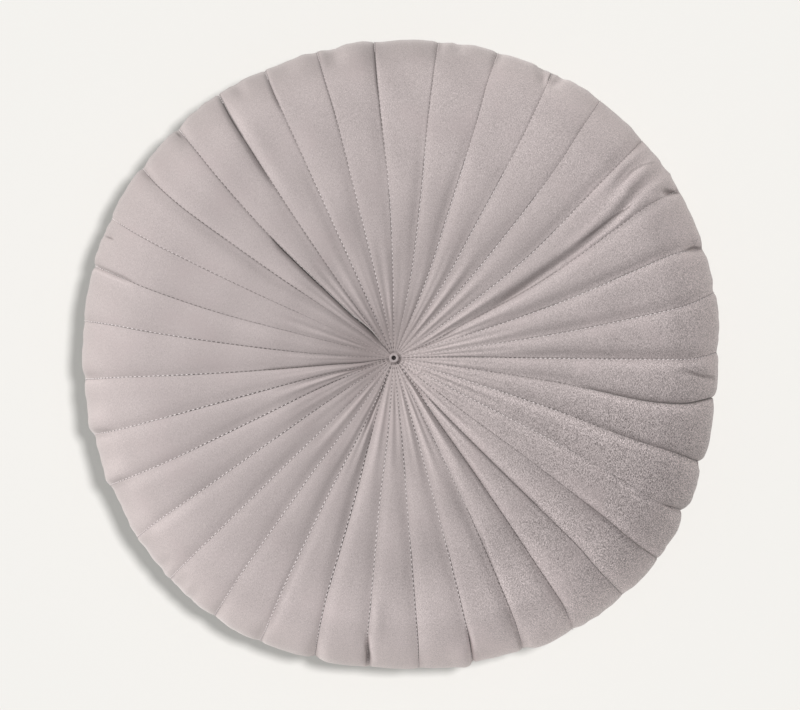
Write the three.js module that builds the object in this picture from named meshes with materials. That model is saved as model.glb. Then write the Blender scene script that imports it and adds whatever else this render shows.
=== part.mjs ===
// A round pleated velvet cushion lying on its back. It is one filled solid: its face is drawn in
// at the middle and sewn into radial panels by long lapped seams, and it meets a plain back at
// the rim. A small dished button sits in the drawn-in middle.
// Sizes are in millimetres, +Z is up, and the origin is on the surface that the cushion rests
// on, under the middle of its outline. Angles are in degrees, counter-clockwise from +X.

import * as THREE from 'three'
import { mergeVertices } from 'three/addons/utils/BufferGeometryUtils.js'

const rimRadius = 202.2                 // to the panels' fullest points, about the outline's centre
const middle = { x: -4.1, y: -2.2 }     // where the face is drawn in, a little off that centre
const faceMiddleHeight = 40.9           // the cloth under the button
const backMiddleHeight = 5              // the back is drawn up a little under the button

const buttonRadius = 3.3
const buttonHeight = 2.4
const buttonDishRadius = 1.6
const buttonDishDepth = 1.7
const buttonEdge = 0.35                 // how far its rims are rounded off
const buttonSeatGap = 0.5               // above the lowest cloth, and 0.3 above the cloth at its edge
const buttonFacets = 24

// Slow swells and hollows of the hand-sewn outline: where, how far out, and how wide.
const outlineSwells = [
  { at: 40, by: 3.2, spread: 16 },
  { at: 98, by: -3.2, spread: 16 },
  { at: 200, by: -1.3, spread: 20 },
  { at: 228, by: 2.9, spread: 9 },
  { at: 267, by: -2.9, spread: 17 },
  { at: 319, by: 6, spread: 14 },
  { at: 353, by: -1, spread: 8 },
]

// Each seam wanders by a degree or two between the drawn-in middle and the rim. The columns
// are its angle about the middle, at the four distances out that seamStops gives.
const seamStops = { heart: 0.2, waist: 0.47, shoulder: 0.78, rim: 1 }
const seams = [
  { heart: 1, waist: 0, shoulder: -0.2, rim: 0.7 },
  { heart: 7.9, waist: 8.5, shoulder: 9.7, rim: 11 },
  { heart: 17.6, waist: 18.3, shoulder: 19.9, rim: 20.2 },
  { heart: 25, waist: 27.2, shoulder: 30.3, rim: 30.4 },
  { heart: 34.7, waist: 36.9, shoulder: 40.1, rim: 41.2 },
  { heart: 45.4, waist: 47.7, shoulder: 50, rim: 51.4 },
  { heart: 55.8, waist: 58.6, shoulder: 60.1, rim: 61 },
  { heart: 67.1, waist: 69.6, shoulder: 71, rim: 72.2 },
  { heart: 78, waist: 80.4, shoulder: 82.2, rim: 82 },
  { heart: 90.6, waist: 91.5, shoulder: 93.2, rim: 93.6 },
  { heart: 102.1, waist: 103.2, shoulder: 103.6, rim: 104.1 },
  { heart: 114.4, waist: 114.4, shoulder: 114.4, rim: 114.2 },
  { heart: 126.3, waist: 125.5, shoulder: 124.5, rim: 123.5 },
  { heart: 134.5, waist: 135.6, shoulder: 134.4, rim: 133.4 },
  { heart: 143, waist: 144.9, shoulder: 144.7, rim: 143.5 },
  { heart: 154.4, waist: 155, shoulder: 154.7, rim: 153.7 },
  { heart: 165.9, waist: 165.8, shoulder: 164.5, rim: 162.9 },
  { heart: 177.5, waist: 175.5, shoulder: 174, rim: 173.3 },
  { heart: 186.1, waist: 185.3, shoulder: 184.4, rim: 184 },
  { heart: 193.5, waist: 194.3, shoulder: 194.6, rim: 194.3 },
  { heart: 201.8, waist: 204, shoulder: 204.7, rim: 204.3 },
  { heart: 213.4, waist: 214.3, shoulder: 214.7, rim: 215 },
  { heart: 225.8, waist: 224.9, shoulder: 224.7, rim: 224.7 },
  { heart: 236.6, waist: 234.8, shoulder: 234.8, rim: 235.2 },
  { heart: 246.5, waist: 244.6, shoulder: 244.4, rim: 244.8 },
  { heart: 254, waist: 254.6, shoulder: 254.3, rim: 254.7 },
  { heart: 265.9, waist: 264.6, shoulder: 264.7, rim: 265.2 },
  { heart: 276, waist: 275.3, shoulder: 275, rim: 274.6 },
  { heart: 286.3, waist: 286, shoulder: 285.4, rim: 284.4 },
  { heart: 296.4, waist: 296, shoulder: 295.1, rim: 293.9 },
  { heart: 305, waist: 305, shoulder: 304.6, rim: 304.1 },
  { heart: 311.5, waist: 313.6, shoulder: 314.4, rim: 314 },
  { heart: 322.4, waist: 323.1, shoulder: 322.9, rim: 322.7 },
  { heart: 332.2, waist: 332.7, shoulder: 331.8, rim: 331.5 },
  { heart: 343, waist: 342.4, shoulder: 341.3, rim: 341.8 },
  { heart: 352.2, waist: 351.7, shoulder: 350.3, rim: 352.6 },
]

// Across one panel: it comes out of the crease of its first seam, crowns, and laps over the next.
const panelStops = [
  { across: 0, fullness: 0 },
  { across: 0.28, fullness: 0.8 },
  { across: 0.58, fullness: 1 },
  { across: 0.88, fullness: 0.65 },
]

// Rings of the solid, from the middle of the face over the rim to the middle of the back.
// out is the share of the way to the rim, and height that of the panels' crowns. The crease
// of a seam lies lower by drop and further in by bite. Each ring uses every skip-th column.
const faceRings = [
  { out: 0.018, height: 41.2, drop: 0, bite: 0, skip: 4 },
  { out: 0.04, height: 43, drop: 0.3, bite: 0, skip: 4 },
  { out: 0.07, height: 46.8, drop: 0.5, bite: 0, skip: 2 },
  { out: 0.11, height: 53, drop: 0.8, bite: 0, skip: 2 },
  { out: 0.16, height: 60, drop: 1.1, bite: 0, skip: 1 },
  { out: 0.235, height: 68, drop: 1.4, bite: 0, skip: 1 },
  { out: 0.31, height: 73.8, drop: 1.6, bite: 0, skip: 1 },
  { out: 0.4, height: 79.4, drop: 1.8, bite: 0, skip: 1 },
  { out: 0.5, height: 83.4, drop: 2, bite: 0, skip: 1 },
  { out: 0.6, height: 85.2, drop: 2.2, bite: 0, skip: 1 },
  { out: 0.7, height: 85.2, drop: 2.3, bite: 0, skip: 1 },
  { out: 0.77, height: 84.4, drop: 2.4, bite: 0, skip: 1 },
  { out: 0.835, height: 81.8, drop: 2.5, bite: 0.4, skip: 1 },
  { out: 0.893, height: 75.6, drop: 2.4, bite: 1, skip: 1 },
  { out: 0.935, height: 68.2, drop: 2, bite: 1.5, skip: 1 },
  { out: 0.967, height: 59, drop: 1.2, bite: 2, skip: 1 },
  { out: 0.989, height: 49.5, drop: 0.4, bite: 2.3, skip: 1 },
  { out: 1, height: 40, drop: 0, bite: 2.2, skip: 1 },
]
const backRings = [
  { out: 0.992, height: 31, drop: 0, bite: 1.4, skip: 2 },
  { out: 0.966, height: 20.5, drop: 0, bite: 0.8, skip: 2 },
  { out: 0.918, height: 10.5, drop: 0, bite: 0.3, skip: 2 },
  { out: 0.85, height: 3.6, drop: 0, bite: 0, skip: 2 },
  { out: 0.785, height: 0.7, drop: 0, bite: 0, skip: 2 },
  { out: 0.73, height: 0, drop: 0, bite: 0, skip: 2 },
  { out: 0.16, height: 0, drop: 0, bite: 0, skip: 4 },
  { out: 0.08, height: 3, drop: 0, bite: 0, skip: 4 },
]
const rings = [...faceRings, ...backRings]
const columnCount = seams.length * panelStops.length

function outlineRadius(degrees) {
  let radius = rimRadius
  for (const swell of outlineSwells) {
    const away = THREE.MathUtils.euclideanModulo(degrees - swell.at + 180, 360) - 180
    radius += swell.by * Math.exp(-((away / swell.spread) ** 2) / 2)
  }
  return radius
}

// Distance from the drawn-in middle to the rim, found by a few corrections along the ray.
const reachCorrections = 5
function reachOfRim(degrees) {
  const angle = THREE.MathUtils.degToRad(degrees)
  let reach = rimRadius
  for (let step = 0; step < reachCorrections; step++) {
    const x = middle.x + reach * Math.cos(angle)
    const y = middle.y + reach * Math.sin(angle)
    reach += outlineRadius(THREE.MathUtils.radToDeg(Math.atan2(y, x))) - Math.hypot(x, y)
  }
  return reach
}

function seamAngle(index, out) {
  const turns = Math.floor(index / seams.length)
  const seam = seams[index % seams.length]
  const names = Object.keys(seamStops)
  const stops = Object.values(seamStops)
  const next = stops.findIndex((stop) => stop >= out)
  if (next === 0) {
    return seam[names[0]] + 360 * turns
  }
  const share = (out - stops[next - 1]) / (stops[next] - stops[next - 1])
  return THREE.MathUtils.lerp(seam[names[next - 1]], seam[names[next]], share) + 360 * turns
}

function pointOnCloth(ring, column, isBack) {
  const panel = Math.floor(column / panelStops.length)
  const stop = panelStops[column % panelStops.length]
  const along = isBack ? seamStops.rim : ring.out
  const degrees = THREE.MathUtils.lerp(seamAngle(panel, along), seamAngle(panel + 1, along), stop.across)
  const slack = 1 - stop.fullness
  const reach = reachOfRim(degrees) * ring.out - ring.bite * slack
  const angle = THREE.MathUtils.degToRad(degrees)
  return [
    middle.x + reach * Math.cos(angle),
    middle.y + reach * Math.sin(angle),
    ring.height - ring.drop * slack,
  ]
}

// Triangles between two neighbouring rings. The ring with fewer points fans out to the other.
function sewBand(inner, outer, indices) {
  const coarse = inner.skip >= outer.skip ? inner : outer
  const fine = coarse === inner ? outer : inner
  const perStep = coarse.skip / fine.skip
  const half = Math.ceil(perStep / 2)
  const at = (ring, step) => ring.first + (step % ring.count)
  for (let step = 0; step < coarse.count; step++) {
    const start = step * perStep
    const triangles = [[at(coarse, step), at(fine, start + half), at(coarse, step + 1)]]
    for (let k = 0; k < perStep; k++) {
      const corner = at(coarse, k < half ? step : step + 1)
      triangles.push([corner, at(fine, start + k), at(fine, start + k + 1)])
    }
    for (const [a, b, c] of triangles) {
      indices.push(...(coarse === inner ? [a, b, c] : [a, c, b]))
    }
  }
}

function capRing(ring, pole, isBack, indices) {
  for (let step = 0; step < ring.count; step++) {
    const a = ring.first + step
    const b = ring.first + ((step + 1) % ring.count)
    indices.push(...(isBack ? [pole, b, a] : [pole, a, b]))
  }
}

function makeCushionGeometry() {
  const positions = []
  const indices = []
  const sewn = []
  for (const ring of rings) {
    const isBack = backRings.includes(ring)
    sewn.push({ first: positions.length / 3, count: columnCount / ring.skip, skip: ring.skip })
    for (let column = 0; column < columnCount; column += ring.skip) {
      positions.push(...pointOnCloth(ring, column, isBack))
    }
  }
  const facePole = positions.length / 3
  positions.push(middle.x, middle.y, faceMiddleHeight)
  const backPole = positions.length / 3
  positions.push(middle.x, middle.y, backMiddleHeight)

  capRing(sewn[0], facePole, false, indices)
  for (let k = 1; k < sewn.length; k++) {
    sewBand(sewn[k - 1], sewn[k], indices)
  }
  capRing(sewn[sewn.length - 1], backPole, true, indices)

  const geometry = new THREE.BufferGeometry()
  geometry.setAttribute('position', new THREE.Float32BufferAttribute(positions, 3))
  geometry.setIndex(indices)
  geometry.computeVertexNormals()
  return geometry
}

// The button's half section, from the middle of its underside to the middle of its dish.
function makeButtonGeometry() {
  const dishFloor = buttonHeight - buttonDishDepth
  const profile = [
    new THREE.Vector2(0, 0),
    new THREE.Vector2(buttonRadius - 3 * buttonEdge, 0),
    new THREE.Vector2(buttonRadius - buttonEdge, buttonEdge),
    new THREE.Vector2(buttonRadius, buttonHeight / 2),
    new THREE.Vector2(buttonRadius - buttonEdge, buttonHeight - buttonEdge),
    new THREE.Vector2((buttonRadius + buttonDishRadius) / 2, buttonHeight),
    new THREE.Vector2(buttonDishRadius, buttonHeight - buttonEdge),
    new THREE.Vector2(buttonDishRadius - buttonEdge, dishFloor + buttonEdge),
    new THREE.Vector2(0, dishFloor),
  ]
  const lathe = new THREE.LatheGeometry(profile, buttonFacets)
  lathe.deleteAttribute('normal')
  lathe.deleteAttribute('uv')
  lathe.rotateX(Math.PI / 2)
  const geometry = mergeVertices(lathe)
  geometry.computeVertexNormals()
  return geometry
}

const velvet = new THREE.MeshStandardMaterial({ color: 0xbfb3b1, roughness: 0.9, metalness: 0 })
const coveredButton = new THREE.MeshStandardMaterial({ color: 0xb5a9a7, roughness: 0.8, metalness: 0 })

const cushion = new THREE.Mesh(makeCushionGeometry(), velvet)
cushion.name = 'cushion'

const button = new THREE.Mesh(makeButtonGeometry(), coveredButton)
button.name = 'centre_button'
button.position.set(middle.x, middle.y, faceMiddleHeight + buttonSeatGap)

const part = new THREE.Group()
part.add(cushion, button)

export default part
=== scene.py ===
import math

import bpy
import numpy as np
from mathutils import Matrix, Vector


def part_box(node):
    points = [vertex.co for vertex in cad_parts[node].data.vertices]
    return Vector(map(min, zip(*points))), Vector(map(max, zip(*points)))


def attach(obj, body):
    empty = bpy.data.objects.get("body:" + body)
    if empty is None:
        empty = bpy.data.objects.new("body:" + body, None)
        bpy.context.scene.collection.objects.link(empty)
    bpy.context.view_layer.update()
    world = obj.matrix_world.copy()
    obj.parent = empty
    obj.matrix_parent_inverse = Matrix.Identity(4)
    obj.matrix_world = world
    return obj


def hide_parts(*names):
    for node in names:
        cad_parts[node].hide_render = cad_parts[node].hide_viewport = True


# A round pleated velvet cushion lying on its back, seen from straight above.
# Lengths in the dictionaries and tables are millimetres unless a note says metres, angles are
# degrees counter-clockwise from +X, and out runs from 0 at the drawn-in middle to 1 at the rim.

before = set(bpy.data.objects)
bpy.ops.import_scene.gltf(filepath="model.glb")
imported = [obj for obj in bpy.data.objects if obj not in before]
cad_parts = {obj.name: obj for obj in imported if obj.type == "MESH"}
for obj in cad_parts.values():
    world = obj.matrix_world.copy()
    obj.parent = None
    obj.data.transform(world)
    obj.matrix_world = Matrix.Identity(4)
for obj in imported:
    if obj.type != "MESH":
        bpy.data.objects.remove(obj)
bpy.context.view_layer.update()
bpy.ops.object.select_all(action="DESELECT")
bpy.context.scene.view_settings.view_transform = "Standard"
mm = 0.001
print("frame loaded")


# A smooth curve through the stops that never overshoots them.
def through(stops, values, at):
    x = np.asarray(stops, float)
    y = np.asarray(values, float)
    step = np.diff(x)
    slope = np.diff(y) / step
    lean = np.zeros_like(y)
    lean[0] = slope[0]
    lean[-1] = slope[-1]
    for i in range(1, len(x) - 1):
        if slope[i - 1] * slope[i] > 0:
            wa = 2 * step[i] + step[i - 1]
            wb = step[i] + 2 * step[i - 1]
            lean[i] = (wa + wb) / (wa / slope[i - 1] + wb / slope[i])
    at = np.clip(at, x[0], x[-1])
    i = np.clip(np.searchsorted(x, at, side="right") - 1, 0, len(x) - 2)
    h = step[i]
    t = (at - x[i]) / h
    return (y[i] * (1 + 2 * t) * (1 - t) ** 2 + lean[i] * h * t * (1 - t) ** 2
            + y[i + 1] * t * t * (3 - 2 * t) + lean[i + 1] * h * t * t * (t - 1))


# A soft bump, 1 where away is 0.
def hump(away, spread):
    return np.exp(-0.5 * (away / spread) ** 2)


# A soft step from 0 at low to 1 at high.
def ramp(low, high, at):
    t = np.clip((at - low) / (high - low), 0, 1)
    return t * t * (3 - 2 * t)


# The angle turned from start, the shorter way round.
def turnedFrom(start, degrees):
    return (degrees - start + 180) % 360 - 180


# The cushion: one closed skin, the pleated face over the rim seam to the plain back.
cushionShape = {
    "rimRadius": 202.7,  # to the panels' fullest points
    "middle": (-4.1, -2.2),  # where the face is drawn in
    # the outline's slow swells: where, how far out, how wide
    "swells": [(38, 3.3, 17), (98, -3.2, 16), (155, 1.1, 8), (200, -1.5, 18), (229, 3.2, 9),
               (249, 1.2, 7), (267, -3, 16), (318, 6.7, 15), (353, -1, 8)],
    # out and height, from the middle of the face over the rim to the middle of the back
    "profile": [(0, 40.9), (0.018, 41.2), (0.04, 43), (0.07, 46.8), (0.11, 53), (0.16, 60),
                (0.235, 68), (0.31, 73.8), (0.4, 79.4), (0.5, 83.4), (0.6, 85.1), (0.655, 85.4),
                (0.7, 85.2), (0.77, 84.4), (0.835, 81.8), (0.893, 75.6), (0.935, 68.2),
                (0.967, 59), (0.989, 49.5), (1, 40), (0.992, 31), (0.966, 20.5), (0.918, 10.5),
                (0.85, 3.6), (0.785, 0.7), (0.73, 0), (0.45, 0), (0.16, 0), (0.08, 3), (0, 5)],
    "seamPoint": 19,  # which of those points the rim seam runs through
    "fromCrease": (0, 0.4, 1.1, 2.2, 3.8),  # lines of points across a panel, after a crease
    "beforeCrease": (5.4, 3.9, 2.6, 1.5, 0.5, 0.15),  # and before the next one
    "acrossMiddle": 7,  # lines between them
    "fullWidth": 17,  # a panel narrower than this has them closer together
    "stitchLine": 0.5,  # the topstitching, before the next crease
    "dashLine": 0.25,  # the dark needle holes beside it
    # the share of a seam's falls that there is at each distance out
    "fallStarts": [(0, 0.03), (0.03, 0.08), (0.06, 0.2), (0.1, 0.42), (0.16, 0.75), (0.25, 1),
                   (1, 1)],
    "fallReach": 3.2,  # how wide the fall beside a seam is
    "fallShare": 0.21,  # the most that may be of the panel's width
    "notchReach": 3,  # how wide a seam cuts the outline
    "crown": 0.15,  # the soft rise of a panel between its falls
    "creaseDepth": 0.35,
    "stitchPull": 0.12,  # the stitches draw the cloth in by this much
    "puckerDepth": 0.045,  # round the drawn-in middle
    "seamGroove": 1.8,  # the rim seam pulls in by this much
    "fadeBelow": 14,  # how soon the seams die out past the rim seam
    "unevenness": 0.1,  # slow waves of the filling
    "unevenReach": 202,  # the radius that they are laid over
    "gatherDepth": 0.09,  # fine puckers along the rim seam
}

# Each seam: its angle at six distances out; then at three distances how far the cloth
# falls to it on the side before and on the side after; how far it cuts the outline after and
# before it; and, at the three distances, how dark its line is and how much of its thread shows.
seamStops = (0.1, 0.2, 0.47, 0.78, 0.9, 1)
sideStops = (0.25, 0.47, 0.78)
seams = [
    ((1.3, 0.9, 0, -0.2, -0.2, 1), (0.6, 1.2, 2.3), (0.5, 2, 2.6),
     (2.4, 0.2), (1.5, 0.6, 0.9), (0.2, 0.55, 1)),
    ((7.5, 7.9, 8.5, 9.7, 10.2, 11.6), (0.3, 1, 1.1), (0.5, 1.9, 1.8),
     (2.2, 0), (0.2, 0.1, 0.3), (0.5, 0.55, 0.95)),
    ((17.8, 17.6, 18.3, 20, 20.4, 19.4), (0.9, 1.3, 0.9), (0.4, 1.9, 2.3),
     (1.6, 2.4), (0.2, 0.4, 0.4), (0.45, 0.55, 0.6)),
    ((22.6, 25.3, 27.3, 30.3, 31, 30.6), (0.7, 1.6, 1.3), (1.2, 2.6, 0.1),
     (1.2, 0.6), (0.3, 0.4, 0.8), (0.2, 0.3, 0.3)),
    ((33.2, 34.8, 36.9, 40.1, 40.8, 41.2), (0.9, 0.7, 0.3), (0.5, 1, 1.5),
     (1.2, 1.2), (0.1, 0.1, 0.9), (0.85, 0.75, 0.2)),
    ((45, 45.4, 47.7, 49.8, 50.8, 51.3), (0.8, 0.8, 0.4), (0.5, 0.8, 0.1),
     (0.2, 0.2), (0.1, 0.1, 0.6), (0.85, 0.75, 0.15)),
    ((55.2, 55.8, 58.6, 59.9, 60.5, 61), (0.5, 0.6, 0.1), (0.7, 0.9, 0),
     (1, 1), (0.1, 0.1, 0.6), (0.85, 0.75, 0.2)),
    ((66.5, 67.1, 69.6, 70.8, 71.3, 71.2), (1, 0.8, 0.1), (0.7, 1.5, 0.1),
     (0.4, 2.6), (0.3, 0.1, 0.6), (0.85, 0.75, 0.15)),
    ((77.4, 78, 80.4, 82, 82.1, 82), (0.5, 0.5, 0.1), (0.2, 1.1, 0.1),
     (0.2, 2.4), (0.1, 0.1, 0.8), (0.85, 0.75, 0.1)),
    ((90.4, 90.6, 91.5, 93.2, 93.5, 93.6), (0.3, 0.3, 0.4), (0.3, 0.6, 0.8),
     (0, 0.1), (0.6, 0.2, 1.8), (0.6, 0.5, 0.1)),
    ((101.2, 102.2, 103.2, 103.6, 104, 104.2), (0.3, 0.4, 0.1), (0.6, 0.8, 0.1),
     (1.2, 0.6), (0.7, 0.5, 1.2), (0.6, 0.5, 0.1)),
    ((114.4, 114.4, 114.4, 114.4, 114.4, 114.2), (0.5, 0.2, 0.2), (0.4, 1, 0.1),
     (0.8, 0.2), (0.9, 0.6, 0.8), (0.6, 0.5, 0.1)),
    ((126.6, 126.3, 125.5, 124.5, 124.2, 123.6), (0.8, 0.2, 1.8), (-0.5, 0.7, 0.6),
     (0.2, 0.2), (0.6, 0.9, 1.9), (0.25, 0.2, 0.1)),
    ((130.3, 134.8, 135.6, 134.4, 133.7, 133.3), (0.4, 0.5, 0.4), (0.4, 0.3, 0.3),
     (3.5, 3), (2.2, 1.8, 0.8), (0, 0.1, 0.3)),
    ((141, 143.3, 144.9, 144.7, 144.1, 143), (0.8, 0.4, 0.5), (-0.1, 1, 0.8),
     (1, 3.4), (0.1, 1.1, 0.8), (0.1, 0.3, 0.3)),
    ((154.2, 154.4, 155, 154.7, 154.3, 153.7), (0.5, 0.2, 0.2), (-0.1, 0.2, 0.2),
     (2.6, 0.4), (0.1, 0.6, 0.5), (0.15, 0.3, 0.4)),
    ((165.6, 165.9, 165.8, 164.5, 163.6, 162.9), (0, 0.3, 0.2), (-0.1, 0.3, 0.2),
     (1, 0.2), (0.3, 0.4, 0.8), (0.2, 0.3, 0.3)),
    ((178.3, 177.4, 175.5, 174, 173.4, 173.2), (-0.4, 0.3, 0.2), (0.8, 0.2, 0.3),
     (0.6, 0.6), (0.3, 1, 0.4), (0.15, 0.3, 0.5)),
    ((188.3, 186, 185.3, 184.4, 184.1, 184), (0.5, 0.6, 0.4), (0.9, 0.3, 0.5),
     (1.6, 3.4), (1, 0.8, 0.4), (0.05, 0.3, 0.8)),
    ((195, 193.6, 194.3, 194.7, 194.7, 194.4), (-0.5, 0.8, 0.7), (1.2, 0.2, 0.7),
     (3.2, 0), (0.5, 1.2, 0.5), (0.3, 0.5, 0.9)),
    ((201, 201.8, 204, 204.7, 204.5, 204.2), (0.3, 1.2, 0.7), (0.7, 0.3, 1),
     (1, 0), (0.8, 1, 0.5), (0.3, 0.7, 1)),
    ((213.2, 213.4, 214.3, 214.7, 214.7, 215), (0.6, 0.8, 0.7), (0.5, 0.3, 1.1),
     (0, 0), (0.5, 0.5, 0.4), (0.4, 0.8, 1)),
    ((226.2, 225.8, 224.9, 224.7, 224.6, 224.7), (0.4, 1, 0.6), (0.5, 0.3, 0.5),
     (0.8, 0), (0.2, 0.2, 0.3), (0.4, 0.9, 1)),
    ((237.2, 236.5, 234.8, 234.8, 235, 235.2), (0.4, 1.1, 0.3), (0.6, 0.4, 0.5),
     (2.4, 1.6), (0.1, 0.2, 0.1), (0.6, 0.9, 1)),
    ((248, 246.6, 244.6, 244.4, 244.7, 244.8), (1.1, 1.4, 0.1), (0, 0.5, 0.8),
     (0.6, 2.6), (0.9, 0.3, 0.1), (0.4, 0.9, 1)),
    ((252, 253.4, 254.6, 254.3, 254.7, 255.1), (1.1, 2, 0.6), (1.6, 1.2, 1.1),
     (4.5, 4.5), (1.4, 0.7, 0.6), (0.3, 0.8, 0.8)),
    ((266.1, 265.9, 264.6, 264.7, 264.6, 265.3), (0.5, 0.9, 0.8), (0, 0.8, 0.6),
     (0, 0), (0.5, 0.1, 0.5), (0.6, 0.9, 0.7)),
    ((276, 276, 275.3, 275, 274.9, 274.6), (0.1, 1, 1), (0.4, 0.6, 0.8),
     (1.8, 0.2), (0.5, 0.2, 0.8), (0.5, 0.5, 0.5)),
    ((286.4, 286.4, 286, 285.4, 285.1, 284.5), (0.5, 0.9, 1.1), (0.9, 0.6, 0.2),
     (2.4, 0), (0.6, 0.1, 1), (0.55, 0.55, 0.5)),
    ((296.8, 296.4, 296, 295.1, 294.7, 293.9), (0.3, 1.6, 2.2), (1.2, 1, 0.3),
     (4, 0.2), (0.2, 0.2, 1.1), (0.45, 0.35, 0.3)),
    ((306.4, 304.9, 305, 304.6, 304.5, 303.4), (0.8, 1.2, 1.8), (1.1, 0.8, 0.9),
     (1.2, 1.2), (2.6, 1.6, 1.3), (0.2, 0.2, 0.2)),
    ((310, 311.8, 313.6, 314.4, 314, 314), (-0.5, 0.6, 1.1), (1.7, 0.8, 1.3),
     (2.4, 0.6), (0.9, 1.9, 0.9), (0.2, 0.2, 0.05)),
    ((322.4, 322.4, 323.1, 322.9, 322.5, 322.7), (0.2, 0.3, 0.6), (0.1, 0.4, 2),
     (0, 0.2), (0.7, 0.3, 0.6), (0.2, 0.2, 0)),
    ((331.9, 332.2, 332.7, 331.8, 331.4, 332), (0.2, 0.9, 0.3), (0.3, 0.5, -0.3),
     (4.5, 6), (0.4, 0.1, 0.1), (0.65, 0.5, 0.1)),
    ((343.2, 343, 342.4, 341.3, 341.4, 341.2), (0.5, 1.5, 2.4), (0.4, 1.1, 0.4),
     (2.6, 8), (0.2, 0.7, 1.1), (0.65, 0.5, 0)),
    ((351.8, 352.1, 351.7, 350.3, 351, 352.9), (0.9, 0.8, 2.6), (0.2, 1.6, 0.8),
     (1.6, 3), (0.5, 0.6, 1.3), (0.4, 0.2, 0)),
]
panelCount = len(seams)

# Folds that open along a seam: seam, from and to how far out, how deep, how wide.
openFolds = [
    (14, 0.08, 0.5, 3, 0.8), (13, 0.68, 1, 1.3, 0.8), (27, 0.91, 0.985, 3, 1.3),
    (29, 0.9, 1, 2.4, 0.9), (33, 0.72, 1.02, 0.9, 0.6), (36, 0.6, 1.02, 1.5, 0.6),
    (31, 0.07, 0.5, 1.6, 1), (32, 0.18, 0.7, 0.9, 0.8), (4, 0.2, 0.62, 0.5, 1.2),
    (17, 0.88, 1, 1.6, 1.2), (35, 0.68, 1.02, 0.7, 0.5), (19, 0.12, 0.4, 0.8, 0.7),
    (34, 0.93, 1.02, 1.6, 0.9), (10, 0.84, 1.02, 0.8, 0.5), (12, 0.87, 1.02, 1.2, 0.7),
]
# Wrinkles within a panel: (angle, out) points, height (valleys below 0) and spread.
wrinkles = [
    ([(27.5, 0.36), (29.4, 0.5), (30.8, 0.64), (32.2, 0.78), (34.2, 0.87), (35, 0.92),
      (35.1, 0.99)], -2.3, 1.6),
    ([(31.4, 0.6), (34.4, 0.78), (36.2, 0.88), (36.6, 0.96)], 1, 2.1),
    ([(37.2, 0.82), (38.4, 0.89), (38.2, 0.98)], -1.5, 1.6),
    ([(357.5, 0.9), (356.7, 0.94), (356.5, 0.97)], -1.7, 1.6),
    ([(157.1, 0.96), (157.1, 0.985)], -2.2, 1.5), ([(119.8, 0.95), (120, 1)], -1.2, 1.8),
    ([(78.2, 0.965), (78.2, 1)], -1.3, 1.8), ([(266.3, 0.78), (266.6, 0.88)], 0.8, 1.6),
    ([(216, 0.74), (216.2, 0.95)], 0.3, 2.4), ([(222, 0.95), (222.2, 1)], -0.7, 1.8),
    ([(226.8, 0.95), (227, 1)], -0.8, 1.6), ([(229.8, 0.95), (230, 1)], -0.8, 1.6),
    ([(325.4, 0.95), (325.4, 1)], -0.7, 1.8), ([(61.6, 0.955), (63, 1)], -1.8, 1.6),
    ([(31.6, 0.945), (30.4, 0.985)], -2.6, 1.6), ([(264.9, 0.95), (265.1, 0.985)], -1.6, 1.7),
    ([(20.3, 0.955), (19.7, 0.99)], -2, 1.5), ([(59.6, 0.96), (59, 1)], -1.4, 1.5),
    ([(95.8, 0.94), (95.8, 1)], 1.3, 6), ([(101.2, 0.94), (101.2, 1)], -1.8, 4),
    ([(110.3, 0.95), (110.3, 1)], -1, 5), ([(192.3, 0.94), (192.3, 1)], 1.6, 5),
    ([(202.8, 0.94), (202.8, 1)], 1.9, 5), ([(214, 0.94), (214, 1)], 1.2, 8),
    ([(283.2, 0.94), (283.2, 1)], 1.6, 4), ([(297.5, 0.94), (297.5, 1)], 1.8, 7),
]
# Painted shade where a seam gapes: seam, from and to how far out, half the width, how dark.
gapeShadeLines = [
    (14, 0.09, 0.54, 0.8, 0.8), (13, 0.69, 1.02, 0.55, 0.55), (27, 0.915, 0.99, 0.95, 0.8),
    (28, 0.85, 1.02, 0.5, 0.6), (29, 0.9, 1.02, 0.75, 0.75), (33, 0.72, 1.02, 0.5, 0.35),
    (36, 0.62, 1.02, 0.45, 0.55), (35, 0.7, 1.02, 0.4, 0.35), (10, 0.72, 1.02, 0.45, 0.45),
    (1, 0.06, 0.45, 0.4, 0.4), (19, 0.06, 0.4, 0.45, 0.4), (31, 0.15, 0.75, 0.7, 0.35),
    (32, 0.15, 0.62, 0.7, 0.45), (12, 0.87, 1.02, 0.5, 0.35), (15, 0.2, 0.6, 0.4, 0.25),
    (7, 0.955, 1.02, 1.3, 0.7), (34, 0.94, 1.02, 0.8, 0.6), (3, 0.955, 1.02, 1, 0.5),
    (26, 0.3, 0.6, 0.7, 0.2), (20, 0.3, 0.6, 0.6, 0.2), (4, 0.25, 0.55, 0.7, 0.25),
    (13, 0.86, 1.02, 1.3, 0.7), (14, 0.7, 1.02, 0.4, 0.4), (15, 0.66, 1.02, 0.45, 0.5),
    (16, 0.8, 1.02, 0.4, 0.35), (17, 0.9, 1.02, 0.4, 0.3), (24, 0.94, 1.02, 0.5, 0.4),
    (26, 0.94, 1.02, 0.7, 0.45), (30, 0.9, 1.02, 0.5, 0.4), (5, 0.9, 1.02, 0.45, 0.3),
    (1, 0.45, 0.9, 0.5, 0.25), (2, 0.88, 1.02, 0.6, 0.4), (6, 0.6, 1.02, 0.35, 0.3),
    (7, 0.6, 0.96, 0.35, 0.25), (8, 0.6, 1.02, 0.4, 0.35), (9, 0.6, 1.02, 0.4, 0.4),
    (11, 0.78, 1.02, 0.4, 0.4),
]
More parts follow.
